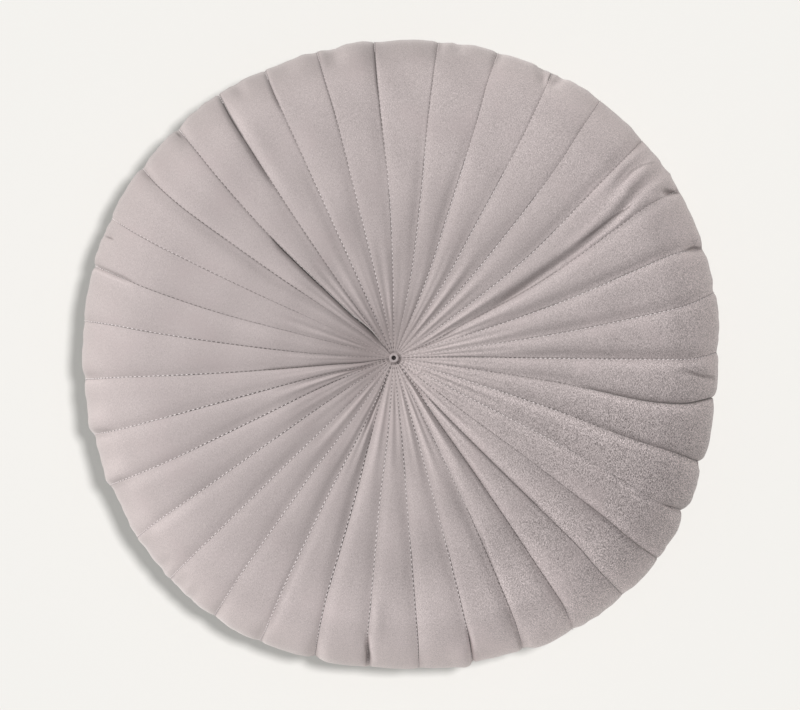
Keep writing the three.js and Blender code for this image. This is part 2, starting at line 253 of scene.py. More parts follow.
# Painted shade the same way along wrinkles and pits: (angle, out) points, half the width, how dark.
shadePaths = [
    ([(31.9, 0.66), (32.8, 0.775), (32.8, 0.835), (34.1, 0.886), (34.7, 0.95)], 1.2, 0.42),
    ([(37.4, 0.855), (38.2, 0.905), (37.9, 0.942), (37, 0.977)], 1.3, 0.26),
    ([(31.8, 0.96), (30.6, 0.985), (30.1, 0.995)], 1.9, 0.65),
    ([(157.1, 0.965), (157.1, 0.99)], 1, 0.45),
    ([(357.6, 0.89), (356.7, 0.94), (356.5, 0.985)], 1.8, 0.43),
    ([(134, 0.97), (134, 0.998)], 1.2, 0.6),
    ([(304.4, 0.5), (304.1, 0.78), (304, 0.95)], 2.4, 0.26),
    ([(295.8, 0.6), (294.6, 0.78), (294.2, 0.9), (293.6, 1)], 2.4, 0.26),
    ([(264.6, 0.93), (264.9, 0.955), (265.1, 0.99)], 2.2, 0.66),
    ([(20.2, 0.94), (20.3, 0.975), (19.6, 0.998)], 1.3, 0.6),
]
# Painted highlights on the lips beside a crease: seam, from and to how far out, how far before
# the crease (after it below 0), spread and how much lighter.
paintedLipHighlights = [
    (36, 0.55, 1.1, 2.5, 0.9, 0.2), (35, 0.35, 1.1, 2.7, 1, 0.15), (34, 0.4, 0.85, 2.3, 1, 0.08),
    (13, 0.65, 0.97, 2.6, 1, 0.08), (1, 0.6, 0.95, 4, 1.2, 0.06), (33, 0.6, 1.1, -2.6, 1, 0.1),
    (32, 0.6, 1.1, -2.6, 0.9, 0.08), (25, 0.6, 0.95, -4, 1.2, 0.07),
    (9, 0.6, 0.95, -1.3, 0.8, 0.08),
]
# Panels that start late, because the gathers swallow their beginning: panel, out, depth.
lateStarts = [(3, 0.225, 1.5), (25, 0.245, 1.7), (31, 0.185, 1.6), (20, 0.175, 1.3)]


# From the drawn-in middle to the outline, in mm.
def reachAlong(degrees):
    mx, my = cushionShape["middle"]
    radians = np.radians(degrees)
    reach = np.full_like(radians, cushionShape["rimRadius"])
    for _ in range(5):
        x = mx + reach * np.cos(radians)
        y = my + reach * np.sin(radians)
        here = np.degrees(np.arctan2(y, x))
        outline = np.full_like(here, cushionShape["rimRadius"])
        for at, by, spread in cushionShape["swells"]:
            outline = outline + by * hump(turnedFrom(at, here), spread)
        reach = reach + outline - np.hypot(x, y)
    return reach


# The profile's length up to each point, its outs and heights, and where the rim seam is on it.
def profileCurve():
    points = np.array(cushionShape["profile"], float)
    flat = points * (cushionShape["rimRadius"], 1)
    gone = np.concatenate([[0], np.cumsum(np.hypot(*np.diff(flat, axis=0).T))])
    return gone, points[:, 0], points[:, 1], gone[cushionShape["seamPoint"]]


profileGone, outStops, heightStops, seamAt = profileCurve()
backEnd = profileGone[-1]


def outAt(place):
    return through(profileGone, outStops, place) * cushionShape["rimRadius"]


def heightAt(place):
    return through(profileGone, heightStops, place)


ringPlan = [  # from and to where along the profile, and how far apart
    (2.4, 24, 1.15), (24, 60, 2), (60, 160, 2.35), (160, seamAt - 4, 1.75),
    (seamAt - 4, seamAt + 4, 0.8), (seamAt + 4, seamAt + 70, 2.6),
    (seamAt + 70, backEnd - 36, 6), (backEnd - 36, backEnd - 3, 4),
]
ringAt = []
for start, stop, apart in ringPlan:
    count = max(1, round((stop - start) / apart))
    ringAt += [start + (stop - start) * i / count for i in range(count)]
ringAt = np.array(ringAt + [backEnd - 3])
rings = len(ringAt)
innerRings = int(np.searchsorted(ringAt, 22))  # rings with a third of the lines
backRing = int(np.searchsorted(ringAt, seamAt + 4.5))  # the back has a third of them too
pastSeam = np.maximum(0, ringAt - seamAt)

out = through(profileGone, outStops, ringAt)
height = heightAt(ringAt)
nudge = 0.4
tangentR = outAt(ringAt + nudge) - outAt(ringAt - nudge)
tangentZ = heightAt(ringAt + nudge) - heightAt(ringAt - nudge)
size = np.hypot(tangentR, tangentZ)
normalR = -tangentZ / size
normalZ = tangentR / size
onFace = ringAt <= seamAt
faceOut = np.where(onFace, out, 1.0)  # the back follows the seams as they end
faceReach = faceOut * cushionShape["rimRadius"]
toRim = ramp(0.9, 1, faceOut)
falls = through(*zip(*cushionShape["fallStarts"]), faceOut)
fade = np.where(onFace, 1, np.exp(-(ringAt - seamAt) / cushionShape["fadeBelow"]))

linesAcross = (len(cushionShape["fromCrease"]) + cushionShape["acrossMiddle"]
               + len(cushionShape["beforeCrease"]))
angles = np.zeros((rings, panelCount * linesAcross))
shift = np.zeros_like(angles)  # along the normal, in mm
besideSeam = np.zeros_like(angles)
lipHighlight = np.zeros_like(angles)
stitchAcross = np.full_like(angles, 50.0)
stitchShown = np.zeros_like(angles)
stitchShade = np.zeros_like(angles)
foldAway = np.full_like(angles, 9.0)  # from the nearest dark line, over half its width
foldShade = np.zeros_like(angles)

seamAngle = np.array([through(seamStops, row[0], faceOut) for row in seams])
# a seam's darkness deepens its crease and sets the painted shade in its needle holes
fallBefore, fallAfter, seamDark, seamShown = [
    np.array([through(sideStops, row[which], faceOut) for row in seams]) for which in (1, 2, 4, 5)]
notchAfter, notchBefore = np.array([row[3] for row in seams]).T


# How much of a fold shows at each ring, from fromOut to toOut or on over the rim.
def alongSeam(fromOut, toOut, soft, softEnd):
    shown = ramp(fromOut - soft[0], fromOut + soft[1], faceOut)
    if toOut < 1:
        shown = shown * (1 - ramp(toOut - softEnd[0], toOut + softEnd[1], faceOut))
    return shown[:, None]


for k in range(panelCount):
    nextK = (k + 1) % panelCount
    first = seamAngle[k]
    last = seamAngle[nextK] + (360 if k == panelCount - 1 else 0)
    width = np.radians(last - first) * faceOut * cushionShape["rimRadius"]
    tight = np.minimum(1, width / cushionShape["fullWidth"])
    across = [d * tight for d in cushionShape["fromCrease"]]
    start = across[-1]
    stop = width - cushionShape["beforeCrease"][0] * tight
    n = cushionShape["acrossMiddle"]
    across += [start + (stop - start) * (i + 1) / (n + 1) for i in range(n)]
    across += [width - d * tight for d in cushionShape["beforeCrease"]]
    across = np.array(across).T  # rings x lines, mm from the first crease
    w = width[:, None]
    t = tight[:, None]
    u = across / w
    before = w - across
    nearest = np.minimum(across, before)
    inFirstHalf = u < 0.5
    rise = cushionShape["crown"] * falls[:, None]
    move = -rise * (np.clip(1 - 2 * u, 0, 1) ** 2.2 + np.clip(2 * u - 1, 0, 1) ** 2.2)
    # the cloth falls to the seam on either side, and the seams cut into the outline
    reachHere = np.minimum(cushionShape["fallReach"], cushionShape["fallShare"] * width)[:, None]
    fallShown = (falls * (1 - toRim))[:, None]
    for away, seam, fall, notch in ((across, k, fallAfter[k], notchAfter[k]),
                                    (before, nextK, fallBefore[nextK], notchBefore[nextK])):
        level = ((fallAfter[seam] + fallBefore[seam]) / 2 - fall)[:, None]
        fallen = fall[:, None] * hump(away, reachHere) + level * hump(away, 0.4 * reachHere)
        move = move - fallShown * fallen
        level = (notchAfter[seam] + notchBefore[seam]) / 2 - notch
        cut = 0.65 * hump(away, cushionShape["notchReach"]) + 0.35 * np.exp(-away / 3)
        move = move - 0.75 * toRim[:, None] * (notch * cut + level * hump(away, 1.3))
    # the crease itself, and the stitches pulling the cloth in
    crease = cushionShape["creaseDepth"]
    leftCrease = crease * seamDark[k][:, None] * np.exp(-across / (0.5 * t))
    rightCrease = crease * seamDark[nextK][:, None] * np.exp(-before / (0.35 * t))
    pull = cushionShape["stitchPull"] * seamShown[nextK][:, None]
    pull = pull * hump(before - cushionShape["stitchLine"] * t, 0.5 * t)
    small = ramp(0.02, 0.2, faceOut)[:, None]
    move = move - t * (leftCrease + rightCrease) - t * small * pull
    puckers = ramp(0.012, 0.025, faceOut) * (1 - ramp(0.05, 0.13, faceOut))
    move = move + cushionShape["puckerDepth"] * puckers[:, None] * -np.cos(2 * np.pi * u)
    for seam, fromOut, toOut, deep, wide in openFolds:
        if seam - 1 in (k, nextK):
            side, spread = (across, wide) if seam - 1 == k else (before, wide * 0.5)
            shown = alongSeam(fromOut, toOut, (0.04, 0.03), (0.03, 0.04))
            move = move - deep * shown * hump(side, spread)
    fromSeam = np.where(inFirstHalf, across, -before)
    lineAway = fromSeam
    lineShade = np.zeros_like(across)
    for seam, fromOut, toOut, wide, dark in gapeShadeLines:
        if seam - 1 in (k, nextK):
            shown = alongSeam(fromOut, toOut, (0.03, 0.03), (0.012, 0.012))
            here = (inFirstHalf == (seam - 1 == k)) & (shown > 0.01)
            lineAway = np.where(here, fromSeam / wide, lineAway)
            near = here & (nearest < np.minimum(8, 0.36 * w))
            lineShade = np.where(near, np.maximum(lineShade, dark * shown), lineShade)
    lipHighlightHere = np.zeros_like(across)
    for seam, fromOut, toOut, beside, wide, lighter in paintedLipHighlights:
        if seam - 1 == (nextK if beside > 0 else k):
            side = before if beside > 0 else across
            shown = alongSeam(fromOut, toOut, (0.06, 0.06), (0.04, 0.04))
            lipHighlightHere += lighter * shown * hump(side - abs(beside), wide)
    for panel, begins, deep in lateStarts:
        if panel - 1 == k:
            late = (1 - ramp(begins - 0.05, begins + 0.03, faceOut)) * ramp(0.03, 0.1, faceOut)
            move = move - deep * late[:, None] * np.sin(np.pi * np.clip(u, 0, 1)) ** 0.8
    # soft flutes of gathered cloth near the middle
    rng = np.random.default_rng(400 + k)
    flutes = sum(rng.uniform(0.1, 0.26)
                 * np.sin(np.pi * 2 * (u * rng.uniform(0.9, 2.1) + rng.random())) for _ in range(2))
    inner = (ramp(0.06, 0.16, faceOut) * (1 - ramp(0.26, 0.46, faceOut)))[:, None]
    move = move + flutes * inner * np.sin(np.pi * np.clip(u, 0, 1))
    # the lapped edge leans over the crease
    lean = t * 0.16 * ramp(1.6, 0.3, before / t) * (before > 0)
    turned = first[:, None] + np.degrees(across / faceReach[:, None])
    turned = turned + np.degrees(lean / np.maximum(2, faceReach)[:, None])
    columns = slice(k * linesAcross, (k + 1) * linesAcross)
    angles[:, columns] = turned
    shift[:, columns] = move
    besideSeam[:, columns] = nearest
    lipHighlight[:, columns] = lipHighlightHere
    foldAway[:, columns] = lineAway
    foldShade[:, columns] = lineShade * fade[:, None]
    dash = cushionShape["dashLine"] * t
    stitchAcross[:, columns] = np.minimum(np.abs(before - dash), across + dash)
    stitchShade[:, columns] = np.where(inFirstHalf, seamDark[k][:, None], seamDark[nextK][:, None])
    stitchShown[:, columns] = np.where(inFirstHalf, seamShown[k][:, None],
                                       seamShown[nextK][:, None])
print("panels folded")


# How far each point lies from a path over the face, in mm.
def fromPath(path):
    pathAngle, pathOut = zip(*path)
    middleLine = np.interp(faceOut, pathOut, pathAngle)[:, None]
    return np.radians(turnedFrom(middleLine, angles)) * faceReach[:, None]


for path, tall, spread in wrinkles:
    begins, ends = path[0][1], path[-1][1]
    soft = min(0.05, (ends - begins) / 2)
    shown = alongSeam(begins, ends, (soft, soft), (soft, soft))
    shift += tall * shown * hump(fromPath(path), spread)

for path, wide, dark in shadePaths:
    begins, ends = path[0][1], path[-1][1]
    soft = min(0.04, (ends - begins) / 2)
    shown = ramp(begins - soft, begins + soft, faceOut)
    shown = (shown * (1 - ramp(ends - 0.01, ends + 0.01, faceOut)))[:, None]
    away = fromPath(path)
    here = (np.abs(away) < 12) & (shown > 0.01)
    shadeHere = np.where(np.abs(away) < 7, dark * shown * onFace[:, None], 0)
    foldAway = np.where(here, away / wide, foldAway)
    foldShade = np.where(here, shadeHere, foldShade)

# Slow unevenness of the filling, and small puckers along the gathered rim.
rng = np.random.default_rng(36)
px = (faceOut * cushionShape["unevenReach"])[:, None] * np.cos(np.radians(angles))
py = (faceOut * cushionShape["unevenReach"])[:, None] * np.sin(np.radians(angles))
awayFromMiddle = ramp(0.1, 0.3, faceOut)[:, None]
for _ in range(14):
    turn = rng.uniform(0, 2 * np.pi)
    wave = rng.uniform(28, 75)
    phase = (px * np.cos(turn) + py * np.sin(turn)) * 2 * np.pi / wave + rng.uniform(0, 6.3)
    shift += cushionShape["unevenness"] * np.sin(phase) * awayFromMiddle
shift *= fade[:, None]
shift -= (cushionShape["seamGroove"] * np.exp(-np.abs(ringAt - seamAt) / 2.2))[:, None]
gathers = np.zeros_like(shift)
for _ in range(10):
    count = int(rng.integers(70, 150))
    gathers += cushionShape["gatherDepth"] * np.sin(np.radians(angles) * count + rng.uniform(0, 6.3))
shift += gathers * np.exp(-np.abs(ringAt - seamAt) / 7)[:, None]

# Painted light and shade on fold flanks, lighter facing the key light and darker facing away.
turnAt = angles % 360
keyLightSide = np.interp(turnAt, (0, 148, 162, 322, 331, 360), (1, 1, -1, -1, 1, 1))
placeAcross = np.radians(angles) * faceReach[:, None]
ahead = np.roll(placeAcross, -1, axis=1)
behind = np.roll(placeAcross, 1, axis=1)
roundOnce = 2 * np.pi * faceOut * cushionShape["rimRadius"]
ahead[:, -1] += roundOnce
behind[:, 0] -= roundOnce
climb = np.roll(shift, -1, axis=1) - np.roll(shift, 1, axis=1)
slopeAcross = climb / np.maximum(ahead - behind, 0.15)
foldLightAndShade = np.clip(-slopeAcross * keyLightSide, -0.45, 0.45) * fade[:, None]
foldLightAndShade = np.where(foldLightAndShade > 0, foldLightAndShade * (1 - 0.85 * hump(besideSeam, 1.2)), foldLightAndShade)

# Painted light over the rim, more so to the right and below, and painted shade on the left of
# the middle; round the top right the very edge and all round the rim seam get painted shade.
paintedLightAndShade = np.interp(turnAt, (0, 30, 60, 90, 130, 165, 200, 240, 275, 300, 325, 345, 360),
                     (0.32, 0.33, 0.22, 0, -0.08, -0.02, 0.08, 0.24, 0.42, 0.46, 0.18, 0.2, 0.32))
edgeLightAndShade = np.interp(turnAt, (0, 35, 60, 85, 120, 160, 200, 240, 270, 300, 325, 350, 360),
                     (0.1, 0.28, 0.2, -0.1, -0.06, 0, 0.1, 0.18, 0.16, 0.26, 0.1, 0.04, 0.1))
paintedLightAndShade = paintedLightAndShade * ramp(0.6, 0.93, faceOut)[:, None]
paintedLightAndShade = paintedLightAndShade + edgeLightAndShade * ramp(0.88, 0.96, faceOut)[:, None] + lipHighlight
paintedLightAndShade = paintedLightAndShade * np.exp(-pastSeam / 25)[:, None]
# Painted light and shade at single places: angle, out, spreads, how much lighter.
lightAndShadeSpots = [
    (165, 0.3, 30, 0.18, 0.09), (58, 0.3, 22, 0.15, -0.06), (242, 0.3, 20, 0.18, -0.07),
    (330, 0.28, 18, 0.12, -0.04), (2, 0.9, 15, 0.05, 0.05), (0, 0.62, 20, 0.09, 0.08),
    (300, 0.6, 16, 0.1, 0.06), (62, 0.62, 25, 0.1, 0.07), (38, 0.91, 22, 0.05, 0.08),
    (120, 0.2, 25, 0.07, 0.05), (180, 0.42, 20, 0.08, 0.06), (235, 0.77, 28, 0.1, -0.05),
    (330, 0.77, 18, 0.08, -0.04), (294, 0.9, 26, 0.06, 0.09), (95, 0.06, 60, 0.07, -0.06),
]
for degrees, place, turnSpread, outSpread, lighter in lightAndShadeSpots:
    spot = hump(turnedFrom(degrees, angles), turnSpread)
    paintedLightAndShade = paintedLightAndShade + lighter * spot * hump(faceOut - place, outSpread)[:, None]
edgeShade = np.interp(turnAt, (0, 122, 146, 320, 350, 360), (0.4, 0.45, 0, 0, 0.4, 0.4))
seamShade = np.maximum(edgeShade * ramp(seamAt - 8, seamAt - 3, ringAt)[:, None],
                       0.35 * hump(ringAt - seamAt, 1.6)[:, None])
paintedLightAndShade = paintedLightAndShade - seamShade * np.exp(-pastSeam / 3)[:, None]

# The grain shows most where the pile stands open to the lower right.
leastGrain = 0.25
grainShown = np.interp(turnAt, (0, 20, 45, 90, 130, 220, 285, 300, 325, 337, 348, 360),
                       (1.15, 0.95, 0.62, 0.42, 0.28, 0.28, 0.45, 1.05, 2.3, 2.6, 1.85, 1.15))
grainOut = np.interp(faceOut, (0.08, 0.5, 0.76, 1), (0.3, 0.42, 1, 0.95))[:, None]
grainShown = leastGrain + (grainShown - leastGrain) * grainOut

# Under the rim the lines of points turn to even angles, as the plain back has no seams.
evenly = ramp(seamAt + 5, seamAt + 60, ringAt)[:, None]
evenAngles = np.linspace(0, 360, angles.shape[1], endpoint=False)[None, :]
angles = angles * (1 - evenly) + evenAngles * evenly

reach = reachAlong(angles)
mx, my = cushionShape["middle"]
radius = out[:, None] * reach + shift * normalR[:, None]
vx = mx + radius * np.cos(np.radians(angles))
vy = my + radius * np.sin(np.radians(angles))
vz = np.maximum(0, height[:, None] + shift * normalZ[:, None])
skin = np.stack([vx, vy, vz], axis=2)
print("skin shaped")

# The filling presses the cloth out between the seams, which hold it: a cloth simulation on a
# grid of every other line and ring, whose movement is then spread over the whole skin.
filling = {"pressure": 4, "spareCloth": -0.01, "cap": 2.5, "share": 0.4, "evened": 9, "steps": 20}


def plumpUp(skin):
    ringsUsed = list(range(0, rings, 2))
    if ringsUsed[-1] != rings - 1:
        ringsUsed.append(rings - 1)
    linesUsed = np.arange(0, skin.shape[1], 2)
    coarse = skin[np.ix_(ringsUsed, linesUsed)]
    m = len(linesUsed)
    faces = [(r * m + j, (r + 1) * m + j, (r + 1) * m + (j + 1) % m, r * m + (j + 1) % m)
             for r in range(len(ringsUsed) - 1) for j in range(m)]
    mesh = bpy.data.meshes.new("pressed")
    mesh.from_pydata([tuple(v * mm) for v in coarse.reshape(-1, 3)], [], faces)
    pressed = bpy.data.objects.new("pressed", mesh)
    bpy.context.scene.collection.objects.link(pressed)
    # the seams, the rim, the back and the very middle stay where they are
    line = linesUsed % linesAcross
    held = np.isin(line, (0, linesAcross - 2))[None, :] | (ringAt[ringsUsed] > seamAt - 3)[:, None]
    held = held | (ringAt[ringsUsed] < 10)[:, None]
    group = pressed.vertex_groups.new(name="held")
    group.add([int(i) for i in np.flatnonzero(held.reshape(-1))], 1, "REPLACE")
    cloth = pressed.modifiers.new("cloth", "CLOTH")
    cloth.settings.vertex_group_mass = "held"
    cloth.settings.use_pressure = True
    cloth.settings.uniform_pressure_force = filling["pressure"]
    cloth.settings.shrink_min = filling["spareCloth"]
    cloth.settings.effector_weights.gravity = 0
    cloth.settings.quality = 5
    for step in range(1, filling["steps"] + 1):
        bpy.context.scene.frame_set(step)
    bpy.ops.object.select_all(action="DESELECT")
    bpy.context.view_layer.objects.active = pressed
    pressed.select_set(True)
    bpy.ops.object.modifier_apply(modifier="cloth")
    after = np.array([v.co[:] for v in pressed.data.vertices]).reshape(coarse.shape) / mm
    bpy.context.scene.frame_set(1)
    bpy.data.objects.remove(pressed)
    # the movement, capped, faded out at the rim and averaged over neighbouring rings
    moved = after - coarse
    far = np.linalg.norm(moved, axis=2, keepdims=True)
    print("cloth moved: mean %.2f mm, most %.2f mm" % (far.mean(), far.max()))
    moved = moved * np.minimum(1, filling["cap"] / np.maximum(far, 1e-6)) * filling["share"]
    moved = moved * (1 - 0.85 * ramp(0.84, 0.97, faceOut[ringsUsed]))[:, None, None]
    extra = filling["evened"] // 2
    firstRings = np.repeat(moved[:1], extra, axis=0)
    lastRings = np.repeat(moved[-1:], extra, axis=0)
    padded = np.concatenate([firstRings, moved, lastRings])
    moved = sum(padded[i:i + len(moved)] for i in range(2 * extra + 1)) / (2 * extra + 1)
    # and spread over the lines and rings between
    full = np.zeros_like(skin)
    closed = np.concatenate([moved, moved[:, :1]], axis=1)
    at = np.arange(skin.shape[1]) / 2
    low = np.floor(at).astype(int)
    part = (at - low)[None, :, None]
    acrossAll = closed[:, low] * (1 - part) + closed[:, low + 1] * part
    for i in range(rings):
        j = np.searchsorted(ringsUsed, i)
        if ringsUsed[j] == i:
            full[i] = acrossAll[j]
        else:
            lower, upper = ringAt[ringsUsed[j - 1]], ringAt[ringsUsed[j]]
            share = (ringAt[i] - lower) / (upper - lower)
            full[i] = acrossAll[j - 1] * (1 - share) + acrossAll[j] * share
    return skin + full


skin = plumpUp(skin)
print("filling pressed out")

# Distance along each seam from the middle, which the stitches and the needle holes share.
stitchColumn = linesAcross - 2
along = np.zeros((rings, panelCount))
for k in range(panelCount):
    line = skin[:, k * linesAcross + stitchColumn]
    along[1:, k] = np.cumsum(np.linalg.norm(np.diff(line, axis=0), axis=1))
stitchAlong = np.zeros_like(angles)
for k in range(panelCount):
    for j in range(linesAcross):
        nearer = (k - 1) % panelCount if j < linesAcross // 2 else k
        stitchAlong[:, k * linesAcross + j] = along[:, nearer]


def buildSkin():
    verts = []
    ringOf = []
    lineOf = []

    def ringVerts(i, thin):
        start = len(verts)
        for j in range(0, skin.shape[1], 3 if thin else 1):
            verts.append(tuple(skin[i, j] * mm))
            ringOf.append(i)
            lineOf.append(j)
        return list(range(start, len(verts)))

    loops = [ringVerts(i, i < innerRings or i >= backRing) for i in range(rings)]
    faces = []
    for inner, outer in zip(loops, loops[1:]):
        n, m = len(inner), len(outer)
        if n == m:
            faces += [(inner[j], outer[j], outer[(j + 1) % n], inner[(j + 1) % n]) for j in range(n)]
        elif n < m:
            for j in range(n):
                o = [outer[(3 * j + s) % m] for s in range(4)]
                after = inner[(j + 1) % n]
                faces += [(inner[j], o[0], o[1]), (inner[j], o[1], o[2], after), (after, o[2], o[3])]
        else:
            for j in range(m):
                o = [inner[(3 * j + s) % n] for s in range(4)]
                after = outer[(j + 1) % m]
                faces += [(outer[j], o[1], o[0]), (outer[j], after, o[2], o[1]), (after, o[3], o[2])]
    first, last = loops[0], loops[-1]
    centre = len(verts)
    verts.append((mx * mm, my * mm, cushionShape["profile"][0][1] * mm))
    faces += [(centre, first[j], first[(j + 1) % len(first)]) for j in range(len(first))]
    pole = len(verts)
    verts.append((mx * mm, my * mm, cushionShape["profile"][-1][1] * mm))
    faces += [(pole, last[(j + 1) % len(last)], last[j]) for j in range(len(last))]
    mesh = bpy.data.meshes.new("cushionCover")
    mesh.from_pydata(verts, [], faces)
    mesh.update()
    onSeams = (np.arange(rings) < backRing - 4)[:, None]
    attributes = {  # values ring by ring, and the one at the two poles
        "stitchAcross": (np.where(onSeams, stitchAcross, 50.0), 50.0),
        "stitchAlong": (stitchAlong, 0.0),
        "stitchShown": (stitchShown, 0.0),
        "stitchShade": (stitchShade, 0.0),
        "foldLightAndShade": (foldLightAndShade, 0.0),
        "paintedLightAndShade": (paintedLightAndShade, 0.0),
        "grainShown": (grainShown, 0.4),
        "foldAway": (foldAway, 9.0),
        "foldShade": (foldShade, 0.0),
    }
    for name, (values, atPoles) in attributes.items():
        data = mesh.attributes.new(name, "FLOAT", "POINT").data
        data.foreach_set("value", list(values[ringOf, lineOf]) + [atPoles, atPoles])
    mesh.polygons.foreach_set("use_smooth", [True] * len(mesh.polygons))
    piece = bpy.data.objects.new("cushionCover", mesh)
    bpy.context.scene.collection.objects.link(piece)
    return piece


def triangles(piece):
    return sum(len(p.vertices) - 2 for p in piece.data.polygons)


cover = buildSkin()
print("cushion cover:", triangles(cover), "triangles,", rings, "rings")

# The topstitching: one stitch modelled, then laid along every seam.
stitching = {
    "pitch": 3, "length": 2, "width": 0.7,
    "from": 6.5,  # the first stitch, along the seam from the middle
    "proud": 0.22,  # above the cloth
    "sunk": 0.7,  # where none of the thread shows
    "leastShown": 0.06,  # and below this it is left out
}


def modelStitch():
    bpy.ops.mesh.primitive_cylinder_add(vertices=5, radius=0.5, depth=1, end_fill_type="TRIFAN",
                                        location=(0, 0, 0), rotation=(0, math.pi / 2, 0))
    stitch = bpy.context.object
    bpy.ops.object.transform_apply(location=True, rotation=True, scale=True)
    bpy.ops.object.mode_set(mode="EDIT")
    for cut in (-0.3, 0, 0.3):
        bpy.ops.mesh.select_all(action="SELECT")
        bpy.ops.mesh.bisect(plane_co=(cut, 0, 0), plane_no=(1, 0, 0))
    bpy.ops.object.mode_set(mode="OBJECT")
    # thinner towards the ends, which dip into the needle holes
    for v in stitch.data.vertices:
        end = abs(v.co.x) * 2
        v.co.y *= 1 - 0.45 * end ** 3
        v.co.z = v.co.z * (1 - 0.35 * end ** 3) - 0.9 * end ** 2.2
    return stitch


stitchModel = modelStitch()
stitchPoints = np.array([v.co[:] for v in stitchModel.data.vertices])
stitchFaces = [tuple(p.vertices) for p in stitchModel.data.polygons]
bpy.data.objects.remove(stitchModel)


def layStitches():
    verts = []
    faces = []
    faceRings = np.arange(rings) < np.searchsorted(ringAt, seamAt - 2)
    count = 0
    for k in range(panelCount):
        column = k * linesAcross + stitchColumn
        line = skin[faceRings, column]
        side = skin[faceRings, column + 1] - skin[faceRings, column - 1]
        gone = along[faceRings, k]
        width = np.linalg.norm(side, axis=1)
        shownAlong = seamShown[(k + 1) % panelCount][faceRings]
        for step in range(1, int(gone[-1] / stitching["pitch"]) + 1):
            at = stitching["pitch"] * step
            shown = np.interp(at, gone, shownAlong)
            if at >= gone[-1] - 1 or at < stitching["from"] or shown < stitching["leastShown"]:
                continue
            here, ahead, behind = [np.array([np.interp(place, gone, line[:, a]) for a in range(3)])
                                   for place in (at, at + 1.1, at - 1.1)]
            forward = (ahead - behind) / np.linalg.norm(ahead - behind)
            sideways = np.array([np.interp(at, gone, side[:, a]) for a in range(3)])
            up = np.cross(sideways, forward)
            up = up / np.linalg.norm(up)
            if up[2] < 0 and here[2] > 60:
                up = -up
            sideways = np.cross(up, forward)
            room = np.interp(at, gone, width)
            wide = stitching["width"] * min(1, 0.35 + room / 2) * (0.55 + 0.45 * shown)
            local = stitchPoints * (stitching["length"], wide, wide)
            lift = stitching["proud"] - stitching["sunk"] * (1 - shown) ** 1.5
            placed = here + local[:, :1] * forward + local[:, 1:2] * sideways
            placed = placed + (local[:, 2:] + lift) * up
            base = len(verts)
            verts += [tuple(p * mm) for p in placed]
            faces += [tuple(base + i for i in f) for f in stitchFaces]
            count += 1
    mesh = bpy.data.meshes.new("topstitching")
    mesh.from_pydata(verts, [], faces)
    mesh.polygons.foreach_set("use_smooth", [True] * len(mesh.polygons))
    piece = bpy.data.objects.new("topstitching", mesh)
    bpy.context.scene.collection.objects.link(piece)
    print("stitches:", count, "triangles:", triangles(piece))
    return piece


threads = layStitches()

# The centre button: a small velvet-covered ring round a dished hole.
buttonShape = {"radius": 3, "height": 2.4, "hole": 1.45, "deep": 2.1, "edge": 0.6}
buttonLow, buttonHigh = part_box("centre_button")
buttonMiddle = ((buttonLow.x + buttonHigh.x) / 2, (buttonLow.y + buttonHigh.y) / 2)


def modelButton():
    s = buttonShape
    middleHeight = buttonLow.z + s["height"] * mm / 2
    bpy.ops.mesh.primitive_cylinder_add(vertices=40, radius=s["radius"] * mm, depth=s["height"] * mm,
                                        location=(*buttonMiddle, middleHeight))
    button = bpy.context.object
    button.name = "centreButton"
    bpy.ops.object.transform_apply(location=True, rotation=True, scale=True)
    bpy.ops.object.mode_set(mode="EDIT")
    bpy.ops.mesh.select_all(action="DESELECT")
    bpy.ops.object.mode_set(mode="OBJECT")
    for p in button.data.polygons:
        p.select = p.normal.z > 0.9
    bpy.ops.object.mode_set(mode="EDIT")
    bpy.ops.mesh.select_mode(type="FACE")
    bpy.ops.mesh.inset(thickness=(s["radius"] - s["hole"]) * mm)
    bpy.ops.mesh.extrude_region_move(TRANSFORM_OT_translate={"value": (0, 0, -s["deep"] * mm)})
    bpy.ops.transform.resize(value=(0.85, 0.85, 1), center_override=(*buttonMiddle, 0))
    bpy.ops.object.mode_set(mode="OBJECT")
    bevel = button.modifiers.new("rounded", "BEVEL")
    bevel.width = s["edge"] * mm
    bevel.segments = 4
    bevel.limit_method = "ANGLE"
    bevel.angle_limit = math.radians(35)
    bpy.context.view_layer.objects.active = button
    bpy.ops.object.modifier_apply(modifier="rounded")
    bpy.ops.object.shade_smooth()
    return button


button = modelButton()
print("button modelled")

# The velvet, what differs on the button, and the painted shade in its dish.
velvetFinish = {
    "light": (0.805, 0.703, 0.688, 1),  # the tips of the pile
    "dark": (0.19, 0.165, 0.16, 1),  # and between them
    "rose": (0.5, 0.425, 0.418, 1),  # in patches
    # painted shade, mixed in towards the lower right, away from the key light:
    "lowerRightShade": (0.1, 0.08, 0.08, 1),  # towards the lower right,
    "lowerRightShadeShare": 0.16,  # where this much of it is mixed in
    "needleHole": (0.06, 0.05, 0.05, 1),
    "foldShadeColour": (0.07, 0.055, 0.052, 1),
    "grainScale": 2600,  # of the noise, a higher one is finer
    "fibreScale": 1900,
    "fibreStretch": (1.35, 0.5, 1),
    "patchScale": 30,
    "broadScale": 9,
    "plainGrain": 0.4,  # how much the grain shows away from the cover
    "foldLightAndShade": 0.5,  # how much a fold's flanks lighten and darken
    "pileDepth": 0.0004,  # of the bump, in metres
    "holeDepth": 0.0005,
    "roughness": 0.92,
    "gloss": 0.2,
    "sheen": 1,
    "sheenRoughness": 0.35,
    "sheenTint": (0.95, 0.9, 0.88, 1),
}
buttonFinish = {**velvetFinish, "light": (0.6, 0.53, 0.52, 1), "dark": (0.33, 0.29, 0.285, 1)}
